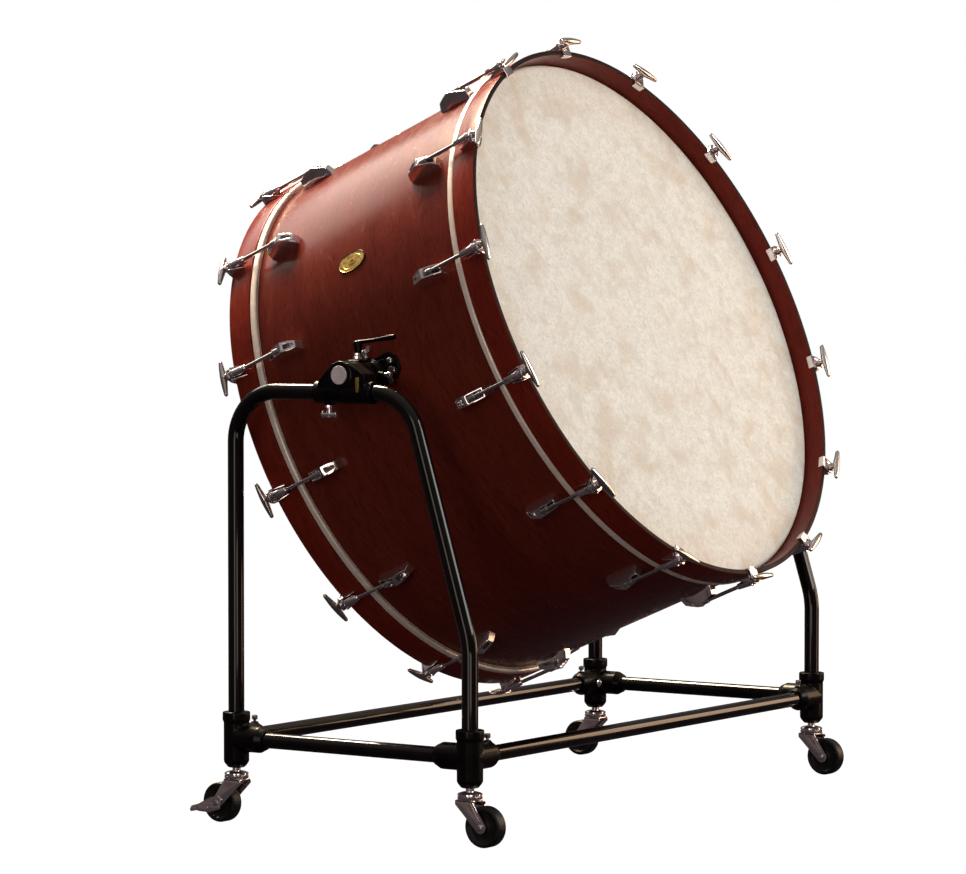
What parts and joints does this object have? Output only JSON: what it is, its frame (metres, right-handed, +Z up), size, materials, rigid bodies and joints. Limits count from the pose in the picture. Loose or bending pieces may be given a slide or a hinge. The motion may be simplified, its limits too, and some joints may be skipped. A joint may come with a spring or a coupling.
{
  "type": "concert bass drum on a tilting stand",
  "caption": "Concert bass drum with a mahogany shell and calfskin-look heads, hung on trunnions in a wheeled black tube stand that lets it tilt and lock.",
  "frame": {"origin": "on the floor under the middle of the tilt axis", "axes": "+Z up, the batter head faces -Y and up, the tilt axis lies along X"},
  "size_m": [1.1164, 0.9048, 1.2795],
  "materials": {
    "mahogany": "glossy lacquered mahogany veneer",
    "hoop_wood": "glossy lacquered maple hoop, stained dark red-brown",
    "calf_film": "mottled calfskin-look film",
    "brass": "satin",
    "black_paint": "gloss black powder coat on steel tube",
    "cast_black": "satin black casting",
    "chrome": "polished chrome plate",
    "rubber": "satin black"
  },
  "bodies": {
    "stand": {"left_end_frame": "black_paint", "left_saddle_clamp": "cast_black", "left_rail": "black_paint", "right_end_frame": "black_paint", "right_saddle_clamp": "cast_black", "right_rail": "black_paint", "front_rail": "black_paint", "rear_rail": "black_paint", "left_front_fitting": "cast_black", "right_front_fitting": "cast_black", "left_rear_fitting": "cast_black", "right_rear_fitting": "cast_black"},
    "drum": {"shell": "mahogany", "front_hoop": "hoop_wood", "rear_hoop": "hoop_wood", "front_head": "calf_film", "rear_head": "calf_film", "vent_badge": "brass", "left_trunnion": "cast_black", "right_trunnion": "cast_black"},
    "left_lever": {"left_tilt_lever": "cast_black"},
    "right_lever": {"right_tilt_lever": "cast_black"},
    "left_front_caster": {"left_front_fork": "chrome"},
    "right_front_caster": {"right_front_fork": "chrome"},
    "left_rear_caster": {"left_rear_fork": "chrome"},
    "right_rear_caster": {"right_rear_fork": "chrome"},
    "left_front_roller": {"left_front_wheel": "rubber"},
    "right_front_roller": {"right_front_wheel": "rubber"},
    "left_rear_roller": {"left_rear_wheel": "rubber"},
    "right_rear_roller": {"right_rear_wheel": "rubber"},
    "left_rear_brake": {"left_rear_brake_pedal": "chrome"},
    "right_rear_brake": {"right_rear_brake_pedal": "chrome"},
    "front_rod_01": {"front_rod_01": "chrome"},
    "front_rod_02": {"front_rod_02": "chrome"},
    "front_rod_03": {"front_rod_03": "chrome"},
    "front_rod_04": {"front_rod_04": "chrome"},
    "front_rod_05": {"front_rod_05": "chrome"},
    "front_rod_06": {"front_rod_06": "chrome"},
    "front_rod_07": {"front_rod_07": "chrome"},
    "front_rod_08": {"front_rod_08": "chrome"},
    "front_rod_09": {"front_rod_09": "chrome"},
    "front_rod_10": {"front_rod_10": "chrome"},
    "front_rod_11": {"front_rod_11": "chrome"},
    "front_rod_12": {"front_rod_12": "chrome"},
    "front_rod_13": {"front_rod_13": "chrome"},
    "front_rod_14": {"front_rod_14": "chrome"},
    "rear_rod_01": {"rear_rod_01": "chrome"},
    "rear_rod_02": {"rear_rod_02": "chrome"},
    "rear_rod_03": {"rear_rod_03": "chrome"},
    "rear_rod_04": {"rear_rod_04": "chrome"},
    "rear_rod_05": {"rear_rod_05": "chrome"},
    "rear_rod_06": {"rear_rod_06": "chrome"},
    "rear_rod_07": {"rear_rod_07": "chrome"},
    "rear_rod_08": {"rear_rod_08": "chrome"},
    "rear_rod_09": {"rear_rod_09": "chrome"},
    "rear_rod_10": {"rear_rod_10": "chrome"},
    "rear_rod_11": {"rear_rod_11": "chrome"},
    "rear_rod_12": {"rear_rod_12": "chrome"},
    "rear_rod_13": {"rear_rod_13": "chrome"},
    "rear_rod_14": {"rear_rod_14": "chrome"}
  },
  "joints": [
    {"name": "drum_tilt", "type": "hinge", "parent": "stand", "child": "drum", "pos_m": [0, 0, 0.723], "axis": [-1, 0, 0], "range_deg": [-113, 67]},
    {"name": "left_lever_turn", "type": "hinge", "parent": "stand", "child": "left_lever", "pos_m": [-0.5, 0.003, 0.759], "axis": [0, 0, -1], "range_deg": [0, 120]},
    {"name": "right_lever_turn", "type": "hinge", "parent": "stand", "child": "right_lever", "pos_m": [0.5, 0.003, 0.759], "axis": [0, 0, 1], "range_deg": [0, 120]},
    {"name": "left_front_swivel", "type": "hinge", "parent": "stand", "child": "left_front_caster", "pos_m": [-0.536, -0.2355, 0.08], "axis": [0, 0, 1], "continuous": true},
    {"name": "right_front_swivel", "type": "hinge", "parent": "stand", "child": "right_front_caster", "pos_m": [0.536, -0.2355, 0.08], "axis": [0, 0, 1], "continuous": true},
    {"name": "left_rear_swivel", "type": "hinge", "parent": "stand", "child": "left_rear_caster", "pos_m": [-0.536, 0.2195, 0.08], "axis": [0, 0, 1], "continuous": true},
    {"name": "right_rear_swivel", "type": "hinge", "parent": "stand", "child": "right_rear_caster", "pos_m": [0.536, 0.2195, 0.08], "axis": [0, 0, 1], "continuous": true},
    {"name": "left_front_roll", "type": "hinge", "parent": "left_front_caster", "child": "left_front_roller", "pos_m": [-0.536, -0.2645, 0.032], "axis": [1, 0, 0], "continuous": true},
    {"name": "right_front_roll", "type": "hinge", "parent": "right_front_caster", "child": "right_front_roller", "pos_m": [0.536, -0.2645, 0.032], "axis": [1, 0, 0], "continuous": true},
    {"name": "left_rear_roll", "type": "hinge", "parent": "left_rear_caster", "child": "left_rear_roller", "pos_m": [-0.536, 0.2485, 0.032], "axis": [1, 0, 0], "continuous": true},
    {"name": "right_rear_roll", "type": "hinge", "parent": "right_rear_caster", "child": "right_rear_roller", "pos_m": [0.536, 0.2485, 0.032], "axis": [1, 0, 0], "continuous": true},
    {"name": "left_rear_brake_press", "type": "hinge", "parent": "left_rear_caster", "child": "left_rear_brake", "pos_m": [-0.536, 0.2485, 0.032], "axis": [-1, 0, 0], "range_deg": [0, 10]},
    {"name": "right_rear_brake_press", "type": "hinge", "parent": "right_rear_caster", "child": "right_rear_brake", "pos_m": [0.536, 0.2485, 0.032], "axis": [-1, 0, 0], "range_deg": [0, 10]},
    {"name": "front_rod_01_turn", "type": "hinge", "parent": "drum", "child": "front_rod_01", "pos_m": [0, -0.01574, 1.24896], "axis": [0, -0.9205, 0.3907], "continuous": true},
    {"name": "front_rod_02_turn", "type": "hinge", "parent": "drum", "child": "front_rod_02", "pos_m": [0.2074, -0.03424, 1.20539], "axis": [0, -0.9205, 0.3907], "continuous": true},
    {"name": "front_rod_03_turn", "type": "hinge", "parent": "drum", "child": "front_rod_03", "pos_m": [0.37372, -0.08606, 1.0833], "axis": [0, -0.9205, 0.3907], "continuous": true},
    {"name": "front_rod_04_turn", "type": "hinge", "parent": "drum", "child": "front_rod_04", "pos_m": [0.46602, -0.16095, 0.90687], "axis": [0, -0.9205, 0.3907], "continuous": true},
    {"name": "front_rod_05_turn", "type": "hinge", "parent": "drum", "child": "front_rod_05", "pos_m": [0.46602, -0.24407, 0.71105], "axis": [0, -0.9205, 0.3907], "continuous": true},
    {"name": "front_rod_06_turn", "type": "hinge", "parent": "drum", "child": "front_rod_06", "pos_m": [0.37372, -0.31896, 0.53463], "axis": [0, -0.9205, 0.3907], "continuous": true},
    {"name": "front_rod_07_turn", "type": "hinge", "parent": "drum", "child": "front_rod_07", "pos_m": [0.2074, -0.37078, 0.41253], "axis": [0, -0.9205, 0.3907], "continuous": true},
    {"name": "front_rod_08_turn", "type": "hinge", "parent": "drum", "child": "front_rod_08", "pos_m": [0, -0.38928, 0.36896], "axis": [0, -0.9205, 0.3907], "continuous": true},
    {"name": "front_rod_09_turn", "type": "hinge", "parent": "drum", "child": "front_rod_09", "pos_m": [-0.2074, -0.37078, 0.41253], "axis": [0, -0.9205, 0.3907], "continuous": true},
    {"name": "front_rod_10_turn", "type": "hinge", "parent": "drum", "child": "front_rod_10", "pos_m": [-0.37372, -0.31896, 0.53463], "axis": [0, -0.9205, 0.3907], "continuous": true},
    {"name": "front_rod_11_turn", "type": "hinge", "parent": "drum", "child": "front_rod_11", "pos_m": [-0.46602, -0.24407, 0.71105], "axis": [0, -0.9205, 0.3907], "continuous": true},
    {"name": "front_rod_12_turn", "type": "hinge", "parent": "drum", "child": "front_rod_12", "pos_m": [-0.46602, -0.16095, 0.90687], "axis": [0, -0.9205, 0.3907], "continuous": true},
    {"name": "front_rod_13_turn", "type": "hinge", "parent": "drum", "child": "front_rod_13", "pos_m": [-0.37372, -0.08606, 1.0833], "axis": [0, -0.9205, 0.3907], "continuous": true},
    {"name": "front_rod_14_turn", "type": "hinge", "parent": "drum", "child": "front_rod_14", "pos_m": [-0.2074, -0.03424, 1.20539], "axis": [0, -0.9205, 0.3907], "continuous": true},
    {"name": "rear_rod_01_turn", "type": "hinge", "parent": "drum", "child": "rear_rod_01", "pos_m": [0, 0.38928, 1.07704], "axis": [0, 0.9205, -0.3907], "continuous": true},
    {"name": "rear_rod_02_turn", "type": "hinge", "parent": "drum", "child": "rear_rod_02", "pos_m": [0.2074, 0.37078, 1.03347], "axis": [0, 0.9205, -0.3907], "continuous": true},
    {"name": "rear_rod_03_turn", "type": "hinge", "parent": "drum", "child": "rear_rod_03", "pos_m": [0.37372, 0.31896, 0.91138], "axis": [0, 0.9205, -0.3907], "continuous": true},
    {"name": "rear_rod_04_turn", "type": "hinge", "parent": "drum", "child": "rear_rod_04", "pos_m": [0.46602, 0.24407, 0.73495], "axis": [0, 0.9205, -0.3907], "continuous": true},
    {"name": "rear_rod_05_turn", "type": "hinge", "parent": "drum", "child": "rear_rod_05", "pos_m": [0.46602, 0.16095, 0.53913], "axis": [0, 0.9205, -0.3907], "continuous": true},
    {"name": "rear_rod_06_turn", "type": "hinge", "parent": "drum", "child": "rear_rod_06", "pos_m": [0.37372, 0.08606, 0.3627], "axis": [0, 0.9205, -0.3907], "continuous": true},
    {"name": "rear_rod_07_turn", "type": "hinge", "parent": "drum", "child": "rear_rod_07", "pos_m": [0.2074, 0.03424, 0.24061], "axis": [0, 0.9205, -0.3907], "continuous": true},
    {"name": "rear_rod_08_turn", "type": "hinge", "parent": "drum", "child": "rear_rod_08", "pos_m": [0, 0.01574, 0.19704], "axis": [0, 0.9205, -0.3907], "continuous": true},
    {"name": "rear_rod_09_turn", "type": "hinge", "parent": "drum", "child": "rear_rod_09", "pos_m": [-0.2074, 0.03424, 0.24061], "axis": [0, 0.9205, -0.3907], "continuous": true},
    {"name": "rear_rod_10_turn", "type": "hinge", "parent": "drum", "child": "rear_rod_10", "pos_m": [-0.37372, 0.08606, 0.3627], "axis": [0, 0.9205, -0.3907], "continuous": true},
    {"name": "rear_rod_11_turn", "type": "hinge", "parent": "drum", "child": "rear_rod_11", "pos_m": [-0.46602, 0.16095, 0.53913], "axis": [0, 0.9205, -0.3907], "continuous": true},
    {"name": "rear_rod_12_turn", "type": "hinge", "parent": "drum", "child": "rear_rod_12", "pos_m": [-0.46602, 0.24407, 0.73495], "axis": [0, 0.9205, -0.3907], "continuous": true},
    {"name": "rear_rod_13_turn", "type": "hinge", "parent": "drum", "child": "rear_rod_13", "pos_m": [-0.37372, 0.31896, 0.91138], "axis": [0, 0.9205, -0.3907], "continuous": true},
    {"name": "rear_rod_14_turn", "type": "hinge", "parent": "drum", "child": "rear_rod_14", "pos_m": [-0.2074, 0.37078, 1.03347], "axis": [0, 0.9205, -0.3907], "continuous": true}
  ]
}
